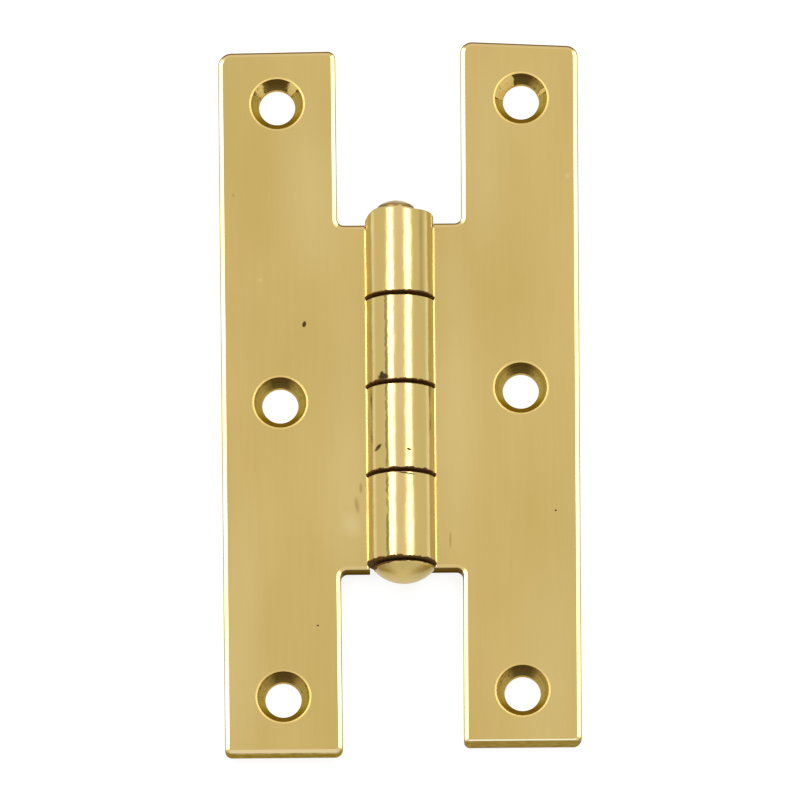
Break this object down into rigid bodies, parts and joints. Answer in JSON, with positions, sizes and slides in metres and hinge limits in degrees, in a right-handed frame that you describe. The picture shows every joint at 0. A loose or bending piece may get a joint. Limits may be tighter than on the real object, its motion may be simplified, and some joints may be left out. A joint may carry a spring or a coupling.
{
  "type": "h hinge",
  "caption": "Flat H-shaped surface hinge: long-legged leaves joined by interleaved knuckles on a headed pin, with countersunk screw holes.",
  "frame": {"origin": "on the flat back, under the pin axis, at half the length of the hinge", "axes": "+Z out of the countersunk front, +Y along the pin towards its peened end, +X from the left leaf to the right leaf"},
  "size_m": [0.0378, 0.0774, 0.0074],
  "materials": {
    "leaf_brass": "polished, lightly brushed along its length",
    "pin_brass": "polished, peened at one end"
  },
  "bodies": {
    "left_side": {"left_leaf": "leaf_brass", "pin": "pin_brass"},
    "right_side": {"right_leaf": "leaf_brass"}
  },
  "joints": [
    {"name": "leaf_swing", "type": "hinge", "parent": "left_side", "child": "right_side", "pos_m": [0, 0, 0.0037], "axis": [0, -1, 0], "range_deg": [-70, 180]}
  ]
}
